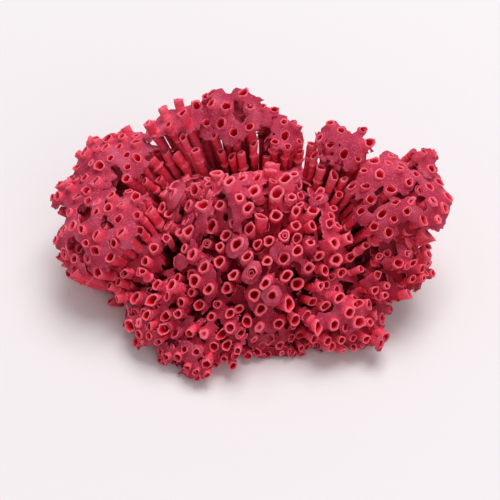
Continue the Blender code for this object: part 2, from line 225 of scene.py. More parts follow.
plainLooks = dict(
    # broken edges of the floors: fresh calcite, paler than any grown face
    freshBreak=dict(stops=[(0.4, "#D84664"), (0.62, "#F47C96")], size=0.5 * mm, roughness=0.6,
                    specular=0.2),
    # dried lime and dust in grains, stained a dull pink by the coral's own dust
    driedPowder=dict(stops=[(0.4, "#C4566E"), (0.6, "#DC8598")], size=0.6 * mm, roughness=0.9,
                     specular=0.2))


def plainCalcite(name):
    look = plainLooks[name]
    material, tree, shader, place = newMaterial(name, look)
    shade = addNode(tree, "ShaderNodeTexNoise", {"Vector": place, "Scale": 1 / look["size"], "Detail": 1.0})
    colour = addNode(tree, "ShaderNodeValToRGB", {0: shade}, stops=look["stops"])
    tree.links.new(colour, shader.inputs["Base Color"])
    return material


pipeMaterial = calcitePipe()
floorMaterial = calciteFloor()
breakMaterial = plainCalcite("freshBreak")
powderMaterial = plainCalcite("driedPowder")
print("materials made")

# a turned skin, row by row: share of the length, depth and hollow depth under the mouth in radii,
# radius: fixed, with the bore and with the flare, then how much lip (a paler rim with painted highlight) and
# throat
skinKeys = ("share", "below", "deep", "fixed", "byBore", "byFlare", "lip", "throat")
pipeSection = [
    (1.0, 0.00, 0.0, 0.00, 0.0, 0.0, 0.0, 0.0),
    (1.0, 0.00, 0.0, 0.94, 0.0, 0.0, 0.0, 0.0),
    (0.4, 0.10, 0.0, 0.98, 0.0, 0.0, 0.0, 0.0),
    (0.0, 0.50, 0.0, 1.02, 0.0, 0.0, 0.0, 0.0),
    (0.0, 0.10, 0.0, 1.00, 0.0, 0.0, 0.2, 0.0),
    (0.0, 0.00, 0.0, 0.60, 0.4, 0.0, 0.8, 0.0),
    (0.0, 0.12, 0.0, 0.10, 0.9, 0.0, 0.3, 0.4),
    (0.0, 0.14, 0.4, 0.00, 0.9, 0.0, 0.0, 1.0),
    (0.0, 0.14, 2.1, 0.00, 0.9, 0.0, 0.0, 1.0),
    (0.0, 0.14, 2.4, 0.00, 0.0, 0.0, 0.0, 1.0),
]
collarSection = [
    (0.0, -0.35, 0.0, 0.88, 0.0, 0.00, 0.0, 0.0),
    (0.0, -0.30, 0.0, 1.02, 0.0, 0.00, 0.0, 0.0),
    (0.0, -0.08, 0.0, 1.10, 0.0, 0.12, 0.0, 0.0),
    (0.0, 0.06, 0.0, 1.00, 0.0, 0.60, 0.0, 0.0),
    (0.0, 0.16, 0.0, 1.00, 0.0, 0.98, 0.4, 0.0),
    (0.0, 0.30, 0.0, 1.00, 0.0, 1.00, 1.0, 0.0),
    (0.0, 0.40, 0.0, 1.00, 0.0, 0.90, 0.3, 0.0),
    (0.0, 0.45, 0.0, 1.10, 0.0, 0.25, 0.0, 0.0),
    (0.0, 0.70, 0.0, 0.88, 0.0, 0.00, 0.0, 0.0),
    (0.0, -0.35, 0.0, 0.88, 0.0, 0.00, 0.0, 0.0),
]


def skinTemplate(name, section, sides):
    # the skin laid out flat, with its rows' numbers on its points
    columns = range(sides)
    points = [(column / sides, row, 0) for row in range(len(section)) for column in columns]
    faces = [(row * sides + column, row * sides + (column + 1) % sides,
              (row + 1) * sides + (column + 1) % sides, (row + 1) * sides + column)
             for row in range(len(section) - 1) for column in columns]
    made = newMesh(name, points, faces)
    for number, key in enumerate(skinKeys):
        storeNumbers(made, key, [row[number] for row in section for column in columns])
    storeNumbers(made, "around", [tau * point[0] for point in points])
    return made


# the numbers that each pipe hands to its skin
pipeFloats = ("girth", "length", "turn", "tilt", "squeeze", "torn", "hollow", "taper", "seed", "tint",
              "bore", "flare")
pipeVectors = ("axis", "side", "bend")


def skinTree():
    # puts one turned skin on each point and shapes it by the point's numbers
    tree = bpy.data.node_groups.new("organPipes", "GeometryNodeTree")
    for label, kind in (("Geometry", "Geometry"), ("Skin", "Object"), ("Unevenness", "Float"),
                        ("Torn edge scale", "Float"), ("Merge distance", "Float"),
                        ("Material", "Material")):
        tree.interface.new_socket(label, in_out="INPUT", socket_type="NodeSocket" + kind)
    tree.interface.new_socket("Geometry", in_out="OUTPUT", socket_type="NodeSocketGeometry")
    given = addNode(tree, "NodeGroupInput").node.outputs
    here = addNode(tree, "GeometryNodeInputPosition")
    skin = addNode(tree, "GeometryNodeObjectInfo", {"Object": given["Skin"]}, output="Geometry")
    points = addNode(tree, "GeometryNodeMeshToPoints", {"Mesh": given["Geometry"]})
    points = addNode(tree, "GeometryNodeStoreNamedAttribute", {0: points, "Name": "mouth", 3: here},
                     data_type="FLOAT_VECTOR", domain="POINT")
    mesh = addNode(tree, "GeometryNodeInstanceOnPoints", {"Points": points, "Instance": skin})
    mesh = addNode(tree, "GeometryNodeRealizeInstances", {0: mesh})

    value = {"unevenness": given["Unevenness"]}
    for key in skinKeys + pipeFloats + ("around",):
        value[key] = addNode(tree, "GeometryNodeInputNamedAttribute", {"Name": key}, data_type="FLOAT")
    for key in pipeVectors + ("mouth",):
        value[key] = addNode(tree, "GeometryNodeInputNamedAttribute", {"Name": key},
                             data_type="FLOAT_VECTOR")

    # each step: what it gives, the operation, and its terms by name or as numbers
    for result, operation, *terms in (
            ("angle", "ADD", "around", "turn"),
            ("cosine", "COSINE", "angle"),
            ("sine", "SINE", "angle"),
            ("depth", "MULTIPLY_ADD", "deep", "hollow", "below"),
            ("depth", "MULTIPLY", "depth", "girth"),
            ("down", "MULTIPLY_ADD", "share", "length", "depth"),
            ("level", "DIVIDE", "down", "girth"),
            ("levelShare", "MULTIPLY", "level", 0.55),
            ("tornSeed", "ADD", "seed", 40.0)):
        inputs = {number: value.get(term, term) for number, term in enumerate(terms)}
        value[result] = addNode(tree, "ShaderNodeMath", inputs, operation=operation)
    # one noise round and along the wall, another round the rim
    spot = addNode(tree, "ShaderNodeCombineXYZ",
                   {0: value["cosine"], 1: value["sine"], 2: value["levelShare"]})
    value["lump"] = addNode(tree, "ShaderNodeTexNoise",
                            {"Vector": spot, "W": value["seed"], "Scale": 1.2, "Detail": 2.0},
                            noise_dimensions="4D")
    spot = addNode(tree, "ShaderNodeCombineXYZ", {0: value["cosine"], 1: value["sine"]})
    value["ragged"] = addNode(tree, "ShaderNodeTexNoise",
                              {"Vector": spot, "W": value["tornSeed"], "Scale": given["Torn edge scale"],
                               "Detail": 3.0}, noise_dimensions="4D")
    value["near"] = addNode(tree, "ShaderNodeMapRange", {0: value["level"], 1: 0.3, 2: 2.2, 3: 1.0, 4: 0.0},
                            interpolation_type="SMOOTHSTEP")
    for result, operation, *terms in (
            ("lump", "SUBTRACT", "lump", 0.5),
            ("twice", "MULTIPLY", "angle", 2.0),
            ("oval", "COSINE", "twice"),
            ("oval", "MULTIPLY_ADD", "oval", "squeeze", 1.0),
            ("shape", "MULTIPLY_ADD", "lump", "unevenness", "oval"),
            ("thin", "MULTIPLY", "taper", "share"),
            ("thin", "SUBTRACT", 1.0, "thin"),
            ("reach", "MULTIPLY_ADD", "ragged", 1.6, 0.2),
            ("reach", "MULTIPLY", "reach", "flare"),
            ("width", "MULTIPLY_ADD", "byBore", "bore", "fixed"),
            ("width", "MULTIPLY_ADD", "byFlare", "reach", "width"),
            ("across", "MULTIPLY", "width", "girth"),
            ("across", "MULTIPLY", "across", "shape"),
            ("across", "MULTIPLY", "across", "thin"),
            # a rim moves whole: the wall near it and the throat's top go with it
            ("slope", "COSINE", "around"),
            ("slope", "MULTIPLY", "slope", "tilt"),
            ("rip", "SUBTRACT", "ragged", 0.5),
            ("slope", "MULTIPLY_ADD", "rip", "torn", "slope"),
            ("slope", "MULTIPLY", "slope", "near"),
            ("lift", "MULTIPLY", "slope", "across"),
            ("lift", "SUBTRACT", "lift", "down"),
            ("bowed", "DIVIDE", "down", "length"),
            ("bowed", "POWER", "bowed", 2.0),
            ("x", "MULTIPLY", "across", "cosine"),
            ("y", "MULTIPLY", "across", "sine")):
        inputs = {number: value.get(term, term) for number, term in enumerate(terms)}
        value[result] = addNode(tree, "ShaderNodeMath", inputs, operation=operation)
    value["other"] = addNode(tree, "ShaderNodeVectorMath", {0: value["axis"], 1: value["side"]},
                             operation="CROSS_PRODUCT")
    place = value["mouth"]
    for direction, amount in (("side", "x"), ("other", "y"), ("axis", "lift"), ("bend", "bowed")):
        step = addNode(tree, "ShaderNodeVectorMath", {0: value[direction], 3: value[amount]},
                       operation="SCALE")
        place = addNode(tree, "ShaderNodeVectorMath", {0: place, 1: step}, operation="ADD")
    mesh = addNode(tree, "GeometryNodeStoreNamedAttribute", {0: mesh, "Name": "down", 3: value["down"]},
                   data_type="FLOAT", domain="POINT")
    mesh = addNode(tree, "GeometryNodeSetPosition", {"Geometry": mesh, "Position": place})
    mesh = addNode(tree, "GeometryNodeMergeByDistance",
                   {"Geometry": mesh, "Distance": given["Merge distance"]})
    mesh = addNode(tree, "GeometryNodeSetShadeSmooth", {"Geometry": mesh})
    mesh = addNode(tree, "GeometryNodeSetMaterial", {"Geometry": mesh, "Material": given["Material"]})
    addNode(tree, "NodeGroupOutput", {0: mesh})
    return tree


def powderTree():
    tree = bpy.data.node_groups.new("powderGrains", "GeometryNodeTree")
    for label, kind in (("Geometry", "Geometry"), ("Grains per square metre", "Float"),
                        ("Grain radius", "Float"), ("Seed", "Int"), ("Material", "Material")):
        tree.interface.new_socket(label, in_out="INPUT", socket_type="NodeSocket" + kind)
    tree.interface.new_socket("Geometry", in_out="OUTPUT", socket_type="NodeSocketGeometry")
    given = addNode(tree, "NodeGroupInput").node.outputs
    # powder lies where the floor looks up
    normal = addNode(tree, "GeometryNodeInputNormal")
    upward = addNode(tree, "ShaderNodeSeparateXYZ", {0: normal}, output="Z")
    facesUp = addNode(tree, "ShaderNodeMath", {0: upward, 1: 0.3}, operation="GREATER_THAN")
    points = addNode(tree, "GeometryNodeDistributePointsOnFaces",
                     {"Mesh": given["Geometry"], "Selection": facesUp,
                      "Density": given["Grains per square metre"], "Seed": given["Seed"]})
    ball = addNode(tree, "GeometryNodeMeshIcoSphere",
                   {"Radius": given["Grain radius"], "Subdivisions": 1})
    size = addNode(tree, "FunctionNodeRandomValue", {2: 0.45, 3: 1.4, "Seed": given["Seed"]}, output=1,
                   data_type="FLOAT")
    turn = addNode(tree, "FunctionNodeRandomValue", {0: (0, 0, 0), 1: (tau, tau, tau), "Seed": 7},
                   data_type="FLOAT_VECTOR")
    mesh = addNode(tree, "GeometryNodeInstanceOnPoints",
                   {"Points": points, "Instance": ball, "Rotation": turn, "Scale": size})
    mesh = addNode(tree, "GeometryNodeRealizeInstances", {0: mesh})
    mesh = addNode(tree, "GeometryNodeSetMaterial", {"Geometry": mesh, "Material": given["Material"]})
    addNode(tree, "NodeGroupOutput", {0: mesh})
    return tree


organPipes = skinTree()
powderGrains = powderTree()
pipeSkin = skinTemplate("pipeSkin", pipeSection, sides=12)
collarSkin = skinTemplate("collarSkin", collarSection, sides=14)
print("node trees made")


def skinMesh(name, pipes, skin, material, uneven, tornScale):
    made = newMesh(name, [pipe["mouth"] for pipe in pipes], [])
    for key in pipeFloats:
        storeNumbers(made, key, [pipe[key] for pipe in pipes])
    for key in pipeVectors:
        storeNumbers(made, key, [number for pipe in pipes for number in pipe[key]], "FLOAT_VECTOR")
    return runTree(made, organPipes, {"Skin": skin, "Unevenness": uneven, "Torn edge scale": tornScale,
                                      "Merge distance": 0.002 * mm, "Material": material})


# what every lobe does unless its own dictionary says otherwise, in millimetres and shares
habit = dict(
    # the cap: how square its dome is, its billows and its outline
    fullness=2.0, waves=1.5, reach=1.0, ragged=0.35, lowest=0.6,
    # the pipes: radius, how close they stand, how far past their floor, and which way they lean
    pipe=0.85, finer=0.0, gap=0.5, stubs=1.6, stand=(0.3, 1.5), shortest=0.1, drift=(0, 0, 0), sway=0.08,
    # their mouths, the light painted into their colour (brighter towards the back, darker where it is below
    # zero), and how many of them have each fault
    bore=(0.68, 0.82), squeeze=0.26, uneven=1.15, paintedLight=0.4,
    oblique=0.3, broken=0.14, bud=0.04, nested=0.012, collar=0.0,
    # the floors: each one's offset from the cap with the least growth that it needs
    terraces=[(0.0, -0.3), (-1.9, -0.6)], deepFloors=[(-4.6, -0.3), (-7.6, -0.25), (-10.5, -0.1)],
    # then painted light on the floors towards the back, and painted shade on low and front floors
    island=5.0, tooth=0.12, ledge=1.2, thickness=0.38, fillet=0.38, paintedBackLight=0.0, sunk=0.0,
    # the powder on the top floor: grains in a square metre, and their radius
    powder=1.0e6, powderGrain=0.04)
edgeSteps = 180          # places round a lobe's outline that are worked out once
billowSize = 7 * mm      # across one billow of a cap
crumbSize = 0.9 * mm     # across one crumb of a floor's surface


class Lobe:
    # a fan of lines from a small root to a domed cap; (p, q) names one line
    def __init__(self, sizes):
        self.sizes = {**habit, **sizes}
        self.node = sizes["node"]
        self.root = Vector(sizes["root"]) * mm - colonyCentre
        self.tip = Vector(sizes["tip"]) * mm - colonyCentre
        self.half = [width * mm for width in sizes["half"]]
        self.drop = sizes["drop"] * mm
        self.narrow = sizes["narrow"]
        self.fullness = self.sizes["fullness"]
        self.waves = self.sizes["waves"] * mm
        self.n = Vector(sizes.get("facing") or self.tip - self.root).normalized()
        self.u = Vector((0, 1, 0)).cross(self.n).normalized()
        self.v = self.n.cross(self.u)
        self.seed = sum(map(ord, self.node)) + self.sizes.get("branch", 0)
        self.rng = random.Random(self.seed)
        self.edge = [self.edgeReach(tau * i / edgeSteps) for i in range(edgeSteps)]
        self.widest = max(self.edge) * max(self.spread(1, 0).length, self.spread(0, 1).length)
        self.pipes = []
        self.collars = []
        self.stemRings = []

    def sideways(self, p, q):
        return self.u * (self.half[0] * p) + self.v * (self.half[1] * q)

    def fall(self, p, q):
        spot = Vector((p * self.half[0], q * self.half[1], self.seed * mm)) / billowSize
        lump = math.hypot(noise.noise(spot), 0.1) - 0.25
        return self.drop * math.hypot(p, q) ** self.fullness - self.waves * lump

    def cap(self, p, q):
        return self.tip + self.sideways(p, q) - self.n * self.fall(p, q)

    def foot(self, p, q):
        return self.root + self.sideways(p, q) * self.narrow

    def normal(self, p, q):
        step = 0.02
        across = self.cap(p + step, q) - self.cap(p - step, q)
        upward = self.cap(p, q + step) - self.cap(p, q - step)
        return across.cross(upward).normalized()

    def flat(self, point):
        local = point - self.tip
        return local.dot(self.u) / self.half[0], local.dot(self.v) / self.half[1]

    def lineAt(self, point, offset):
        # the line that meets a floor, at this offset from the cap, under the point
        return self.flat(point - self.normal(*self.flat(point)) * offset * mm)

    def above(self, point):
        # height over the cap, negative under it
        p, q = self.flat(point)
        return ((point - self.tip).dot(self.n) + self.fall(p, q)) * self.normal(p, q).dot(self.n)

    def edgeReach(self, angle):
        # the ragged outline, cut short where the cap would come down to the ground
        p, q = math.cos(angle), math.sin(angle)
        wave = abs(noise.noise(Vector((2 * p, 2 * q, self.seed * 0.1))))
        tooth = noise.noise(Vector((9 * p, 9 * q, self.seed * 0.3)))
        reach = self.sizes["reach"] - self.sizes["ragged"] * wave + 0.08 * tooth
        while self.cap(p * reach, q * reach).z < self.sizes["lowest"] * mm:
            reach -= 0.01
        return reach

    def reach(self, p, q):
        turn = math.atan2(q, p) % tau / tau * edgeSteps
        low = int(turn) % edgeSteps
        share = turn - int(turn)
        return self.edge[low] * (1 - share) + self.edge[(low + 1) % edgeSteps] * share

    def inward(self, p, q):
        # distance in from the outline, negative outside
        return (self.reach(p, q) - math.hypot(p, q)) * min(self.half)

    def spread(self, p, q):
        # a flat place that keeps the true distance from the tip
        x, y = p * self.half[0], q * self.half[1]
        flat = math.hypot(x, y) or 1e-9
        k = math.hypot(flat, self.drop * math.hypot(p, q) ** self.fullness) / flat
        return Vector((x * k, y * k))

    def unspread(self, x, y):
        length = math.hypot(x, y) or 1e-9
        low, high = 0.0, 1.0
        for _ in range(16):
            middle = (low + high) / 2
            if self.spread(x * middle / self.half[0], y * middle / self.half[1]).length > length:
                high = middle
            else:
                low = middle
        return x * high / self.half[0], y * high / self.half[1]

    def growth(self, p, q, layer=0.0):
        # how high the floors grew at a place: a slow noise with small teeth, a little less at the outline
        spot = self.spread(p, q)
        island = self.sizes["island"] * mm
        slow = noise.fractal(Vector((spot.x, spot.y, (self.seed + layer) * mm)) / island, 1.0, 2.0, 3)
        tooth = noise.noise(Vector((spot.x, spot.y, self.seed * mm)) / crumbSize) * self.sizes["tooth"]
        return slow + tooth - 0.25 * max(0.0, 1 - self.inward(p, q) / mm)

    def terrace(self, p, q):
        # the offset of the highest floor there, in metres
        grown = self.growth(p, q)
        for offset, least in self.sizes["terraces"][:-1]:
            if grown > least:
                return offset * mm
        return self.sizes["terraces"][-1][0] * mm

    def holds(self, point, margin=0.0):
        axis = self.tip - self.root
        local = point - self.root
        if (local - axis / 2).length > axis.length / 2 + max(self.half) + margin:
            return False
        drop = 0.0
        for _ in range(4):
            height = local.dot(self.n) / (axis.dot(self.n) - drop)
            width = self.narrow + (1 - self.narrow) * height
            if not 0 < height < 1.6:
                return False
            p = (local - axis * height).dot(self.u) / (self.half[0] * width)
            q = (local - axis * height).dot(self.v) / (self.half[1] * width)
            drop = self.fall(p, q)
        return height < 1 + margin / axis.length and self.inward(p, q) * width > -margin


colony = []          # every lobe, the main mass first
taken = {}           # points along the pipes' middles with their radii, by cell, to keep pipes apart


def cellOf(point):
    return tuple(int(math.floor(value / cellSize)) for value in point)


def cellsNear(point):
    x, y, z = cellOf(point)
    return [(x + i, y + j, z + k) for i in (-1, 0, 1) for j in (-1, 0, 1) for k in (-1, 0, 1)]


def isClear(samples, radius, gap):
    for point in samples:
        for cell in cellsNear(point):
            for other, otherRadius in taken.get(cell, ()):
                if (point - other).length < radius + otherRadius + gap:
                    return False
    return True


def pipeMiddle(pipe, down):
    return pipe["mouth"] - pipe["axis"] * down + pipe["bend"] * (down / pipe["length"]) ** 2


def claim(pipe):
    # the pipe's whole length is taken, as far down as it can be seen
    steps = max(2, int(pipe["length"] / (1.2 * mm)))
    for i in range(steps + 1):
        down = pipe["length"] * i / steps
        radius = pipe["girth"] * (1 - pipe["taper"] * i / steps)
        point = pipeMiddle(pipe, down)
        taken.setdefault(cellOf(point), []).append((point, radius))


def groundLine(lobe, p, q, end):
    # where a lobe's line comes out of the main mass
    start = lobe.foot(p, q)
    low, high = 0.0, 1.0
    for _ in range(12):
        middle = (low + high) / 2
        if colony[0].above(start.lerp(end, middle)) > -1.5 * mm:
            high = middle
        else:
            low = middle
    return start.lerp(end, high)


def aboveGround(foot, top):
    # a foot that would be below the ground comes up its line
    if foot.z < groundGap:
        foot = foot.lerp(top, min(1.0, (groundGap - foot.z) / max(1e-6, top.z - foot.z)))
    return foot


def anyLean(rng):
    return Vector([rng.gauss(0, 1) for _ in range(3)])


# how far a mouth tilts and how deeply its rim is torn, and the narrow shallow mouth of a bud
mouths = dict(tilt=0.3, torn=(0.4, 1.3), obliqueTilt=(0.4, 0.8), brokenTorn=(1.4, 2.4), budBore=0.3,
              budHollow=0.08)
# pipes low on the colony are worn, and their colour is darker: below this height in millimetres, and by
# these shares
wear = dict(below=8, most=0.9, thinner=0.35, shorter=0.6, duller=0.5, moreBroken=0.6, bore=0.84)
capTries = 45            # darts thrown for each square millimetre of a lobe's half widths
sideTries = 40           # and for each millimetre of them, down its sides
patchSize = 5 * mm       # across one patch of pipes that stand equally tall


def newPipe(lobe, mouth, axis, foot, radius, worn=0.0):
    # one pipe with its own small faults: oblique, broken, budding or with a second mouth inside
    sizes, rng = lobe.sizes, lobe.rng
    kind = rng.random()
    oblique = kind < sizes["oblique"]
    broken = sizes["oblique"] <= kind < sizes["oblique"] + sizes["broken"] + wear["moreBroken"] * worn
    bud = rng.random() < sizes["bud"]
    tilt = rng.uniform(-mouths["tilt"], mouths["tilt"])
    torn = rng.uniform(*mouths["torn"])
    if oblique:
        tilt = rng.choice((-1, 1)) * rng.uniform(*mouths["obliqueTilt"])
    if broken:
        torn = rng.uniform(*mouths["brokenTorn"])
    length = (mouth - foot).length
    pipe = dict(mouth=mouth, axis=axis, side=axis.orthogonal().normalized(), girth=radius, length=length,
                bend=foot - mouth + axis * length, turn=rng.uniform(0, tau), seed=rng.uniform(0, 30),
                tint=rng.random(), tilt=tilt, squeeze=rng.uniform(0, sizes["squeeze"]), torn=torn,
                hollow=mouths["budHollow"] if bud else 1.0,
                bore=(mouths["budBore"] if bud
                      else rng.uniform(*sizes["bore"]) * (1 - worn) + wear["bore"] * worn),
                taper=0.0 if lobe is colony[0] else 0.25, flare=0.0)
    claim(pipe)
    lobe.pipes.append(pipe)
    if rng.random() < sizes["nested"]:
        inner = dict(pipe, mouth=mouth + (pipe["side"] * 0.1 - axis * 0.25) * radius, tilt=0.3, torn=0.6,
                     girth=radius * pipe["bore"] * 0.7, length=radius * 3, bend=straight, taper=0.0)
        lobe.pipes.append(inner)
    return pipe


def freeOfOthers(lobe, points, radius):
    others = [other for other in colony[1:] if other is not lobe]
    return not any(other.holds(point, radius) for other in others for point in points)


def growCapPipes(lobe):
    # the pipes that reach the cap and stand a little over its floors
    sizes, rng = lobe.sizes, lobe.rng
    isMain = lobe is colony[0]
    for _ in range(int(capTries * sizes["half"][0] * sizes["half"][1])):
        angle = rng.uniform(0, tau)
        out = rng.random() ** 0.5 * lobe.widest
        p, q = lobe.unspread(out * math.cos(angle), out * math.sin(angle))
        # pipes are finer towards the back, and low ones are small, thin and worn
        finer = sizes["finer"] * min(1.0, max(0.0, q + 0.6))
        worn = wear["most"] * max(0.0, 1 - lobe.cap(p, q).z / (wear["below"] * mm))
        radius = sizes["pipe"] * mm * rng.uniform(0.75, 1.15) * (1 - finer - wear["thinner"] * worn)
        spot = lobe.spread(p, q)
        # whole patches of pipes stand tall or end flush with their floor
        tall = 0.65 + 1.3 * noise.noise(Vector((spot.x, spot.y, lobe.seed * mm)) / patchSize)
        stand = rng.uniform(*sizes["stand"]) * mm * (1 - 2 * finer) * min(1.2, max(sizes["shortest"], tall))
        stand *= 1 - wear["shorter"] * worn
        if lobe.inward(p, q) < radius * 0.8:
            continue
        normal = lobe.normal(p, q)
        start = lobe.cap(p, q) + normal * lobe.terrace(p, q)
        along = (start - lobe.foot(p, q)).normalized()
        lean = anyLean(rng) * sizes["sway"] * 2
        axis = (along + normal + lean + Vector(sizes["drift"])).normalized()
        mouth = start + axis * stand
        if min(start.z, mouth.z) < radius + groundGap:
            continue
        if not freeOfOthers(lobe, (start, mouth), radius):
            continue
        if not isMain and colony[0].above(mouth) < radius:
            continue
        if not isClear([start, start.lerp(mouth, 0.5), mouth], radius, sizes["gap"] * (1 - worn) * mm):
            continue
        foot = start - axis * 4 * mm if isMain else groundLine(lobe, p, q, start)
        pipe = newPipe(lobe, mouth, axis, aboveGround(foot, start), radius, worn)
        # painted light: its colour is painted brighter towards the back, where more light falls, and a pipe
        # low on the colony is darker
        paintedLightHere = sizes["paintedLight"] * min(1.0, max(0.0, 0.7 + q))
        pipe["tint"] = 0.6 * pipe["tint"] + paintedLightHere - wear["duller"] * worn
        if rng.random() < sizes["collar"]:
            below = axis * radius * rng.uniform(0.25, 0.8)
            lobe.collars.append(dict(pipe, mouth=mouth - below, length=3 * radius, bend=straight,
                                     flare=rng.uniform(0.6, 1.6), tilt=rng.uniform(0, 0.25), torn=0.3))


def growSidePipes(lobe):
    # shorter pipes outside the cap's rim, that end a little over the floors down its sides
    sizes, rng = lobe.sizes, lobe.rng
    steps = [offset for offset, _ in sizes["terraces"][1:] + sizes["deepFloors"]]
    for _ in range(int(sideTries * sizes["stubs"] * (sizes["half"][0] + sizes["half"][1]))):
        angle = rng.uniform(0, tau)
        p, q = math.cos(angle), math.sin(angle)
        line = lobe.cap(p, q) - lobe.foot(p, q)
        sunk = (rng.choice(steps) + rng.uniform(*sizes["stand"])) * mm
        height = 1 + sunk / line.dot(lobe.normal(p * 0.9, q * 0.9))
        if not 0.25 < height < 0.97:
            continue
        width = lobe.narrow + (1 - lobe.narrow) * height
        reach = lobe.reach(p, q) * (1.0 + (1 / width - 1.0) * rng.random())
        p, q = p * reach, q * reach
        foot = lobe.foot(p, q)
        mouth = foot.lerp(lobe.cap(p, q), height)
        radius = sizes["pipe"] * mm * rng.uniform(0.75, 1.05)
        lean = anyLean(rng) * sizes["sway"] * 3
        axis = ((mouth - foot).normalized() * 2 + lean).normalized()
        if mouth.z < radius + groundGap or colony[0].above(mouth) < 0.4 * mm:
            continue
        if not freeOfOthers(lobe, (mouth, mouth - axis * mm), radius):
            continue
        if not isClear([mouth, mouth - axis * mm, mouth - axis * 2 * mm], radius, 0.1 * mm):
            continue
        foot = aboveGround(groundLine(lobe, p, q, mouth), mouth)
        if (mouth - foot).length > 1.2 * mm:
            newPipe(lobe, mouth, axis, foot, radius)


def growStemRings(lobe):
    # what is left of broken floors round the long stems
    rng = lobe.rng
    for pipe in list(lobe.pipes):
        down = pipe["girth"] * rng.uniform(2.5, 5)
        while pipe["length"] > 6 * mm and down < pipe["length"] - 2 * mm:
            share = down / pipe["length"]
            axis = (pipe["axis"] - pipe["bend"] * 2 * share / pipe["length"]).normalized()
            lobe.stemRings.append(dict(pipe, mouth=pipeMiddle(pipe, down), axis=axis,
                                       side=axis.orthogonal().normalized(), length=3 * pipe["girth"],
                                       girth=pipe["girth"] * (1 - pipe["taper"] * share),
                                       bend=straight, flare=rng.choice((0.05, 0.1, 0.2, 0.5)),
                                       tilt=rng.uniform(-0.3, 0.3), torn=rng.uniform(0.5, 2.0), taper=0.0))
            down += rng.uniform(3, 9) * mm


# how the floors are made, in millimetres
floorSizes = dict(
    step=0.62, rowShare=0.87,          # spacing of the points in a floor, and of their rows in steps
    jitter=0.28,                       # how far they stray, in steps
    joins=0.9,                         # a pipe that comes this near is joined to the floor
    clear=0.55,                        # and the net's points keep this clear of its wall
    crumbHeight=0.12,
    tearSize=0.7, tearDepth=1.1,       # the teeth of its torn edge
    longest=2.5)                       # the longest side of a triangle


def floorNet(lobe):
    # loose rows of places over the whole cap, which all its floors share
    places = []
    step, jitter = floorSizes["step"] * mm, floorSizes["jitter"]
    rows = int(lobe.widest / (step * floorSizes["rowShare"])) + 1
    for row in range(-rows, rows + 1):
        for column in range(-rows, rows + 1):
            x = (column + 0.5 * (row % 2) + lobe.rng.uniform(-jitter, jitter)) * step
            y = (row * floorSizes["rowShare"] + lobe.rng.uniform(-jitter, jitter)) * step
            p, q = lobe.unspread(x, y)
            if lobe.inward(p, q) > -step - lobe.sizes["ledge"] * mm:
                places.append((p, q))
    return places


def crossingsOf(lobe, offset, layer):
    # the pipes that pass through a floor, where they do, and how far the floor grew there
    crossings = []
    for pipe in lobe.pipes:
        centre, down = pipe["mouth"], 0.0
        for _ in range(3):
            down = max(0.0, min(pipe["length"], down + lobe.above(centre) - offset * mm))
            centre = pipeMiddle(pipe, down)
        if abs(lobe.above(centre) - offset * mm) < floorSizes["joins"] * mm:
            line = lobe.lineAt(centre, offset)
            crossings.append(dict(pipe=pipe, centre=centre, spot=lobe.spread(*line),
                                  grown=lobe.growth(*line, layer)))
    return crossings


def filletRings(lobe, pipe, centre, offset):
    # rings of points round a pipe that draw the floor up its wall: the inmost lies just inside the wall
    other = pipe["axis"].cross(pipe["side"])
    rise = min(lobe.sizes["fillet"], 0.5 * (lobe.above(pipe["mouth"]) / mm - offset))
    found = []
    for ring, (extra, up, sides) in enumerate(((-0.08, rise, 12), (0.16, rise * 0.4, 12), (0.55, 0.06, 9))):
        for i in range(sides):
            angle = tau * (i + 0.5 * ring) / sides
            out = pipe["side"] * math.cos(angle) + other * math.sin(angle)
            point = centre + out * (pipe["girth"] + extra * mm)
            for _ in range(2):
                point = point - pipe["axis"] * (lobe.above(point) - offset * mm)
            found.append((ring, lobe.lineAt(point, offset), up, point + pipe["axis"] * up * mm))
    return found


def floorPoints(lobe, net, offset, least, most, layer):
    # every point of a floor before they are joined: the rings round its pipes, then the net between them
    crossings = crossingsOf(lobe, offset, layer)
    cells = {}
    for number, crossing in enumerate(crossings):
        cell = (int(crossing["spot"].x // cellSize), int(crossing["spot"].y // cellSize))
        cells.setdefault(cell, []).append(number)

    def nearestWall(spot, own=-1):
        best = 1.0
        x, y = int(spot.x // cellSize), int(spot.y // cellSize)
        for i in (-1, 0, 1):
            for j in (-1, 0, 1):
                for number in cells.get((x + i, y + j), ()):
                    if number != own:
                        other = crossings[number]
                        best = min(best, (spot - other["spot"]).length - other["pipe"]["girth"])
        return best

    found = []
    for number, crossing in enumerate(crossings):
        for ring, line, up, point in filletRings(lobe, crossing["pipe"], crossing["centre"], offset):
            spot = lobe.spread(*line)
            if ring == 0 or nearestWall(spot, number) > (0.2 if ring == 1 else 0.4) * mm:
                found.append(dict(line=line, spot=spot, point=point, lift=up, apart=0.0,
                                  grown=crossing["grown"] if ring < 2 else lobe.growth(*line, layer),
                                  inmostOf=number if ring == 0 else None))
    for line in net:
        grown = lobe.growth(*line, layer)
        spot = lobe.spread(*line)
        apart = nearestWall(spot)
        if least - 0.3 < grown < most + 0.3 and apart > floorSizes["clear"] * mm:
            found.append(dict(line=line, spot=spot, point=None, lift=0.0, apart=apart, grown=grown,
                              inmostOf=None))
    return found


